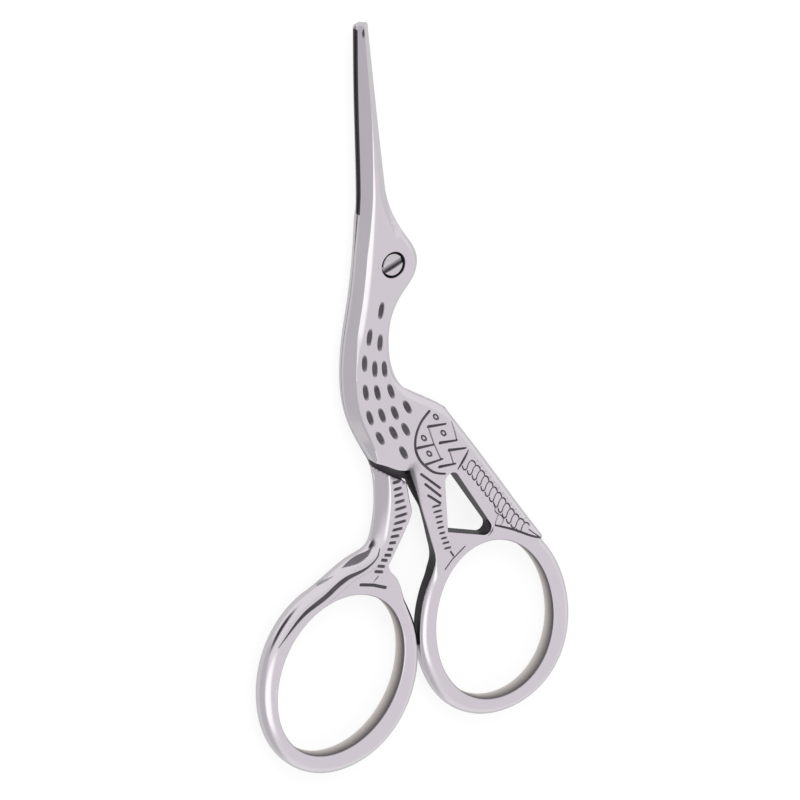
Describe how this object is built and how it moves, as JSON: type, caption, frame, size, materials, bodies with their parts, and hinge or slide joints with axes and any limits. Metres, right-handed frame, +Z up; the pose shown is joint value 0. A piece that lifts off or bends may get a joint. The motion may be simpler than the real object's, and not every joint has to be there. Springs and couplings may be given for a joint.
{
  "type": "stork embroidery scissors",
  "caption": "Small stork-shaped embroidery scissors: two crossed steel halves with oval finger rings and a long beak of two blades, turning on a slotted screw.",
  "frame": {"origin": "on the surface the closed scissors lie on, below the middle of their overall box", "axes": "+Z up, out of the decorated face; +Y towards the tip of the beak; +X towards the front half's finger ring"},
  "size_m": [0.0451, 0.094, 0.0038],
  "materials": {
    "polished_steel": "polished stainless steel, hand ground",
    "screw_steel": "turned steel"
  },
  "bodies": {
    "back": {"back_half": "polished_steel", "pivot_screw": "screw_steel"},
    "front": {"front_half": "polished_steel"}
  },
  "joints": [
    {"name": "open_close", "type": "hinge", "parent": "back", "child": "front", "pos_m": [0, 0.0169, 0.0019], "axis": [0, 0, 1], "range_deg": [0, 60]}
  ]
}
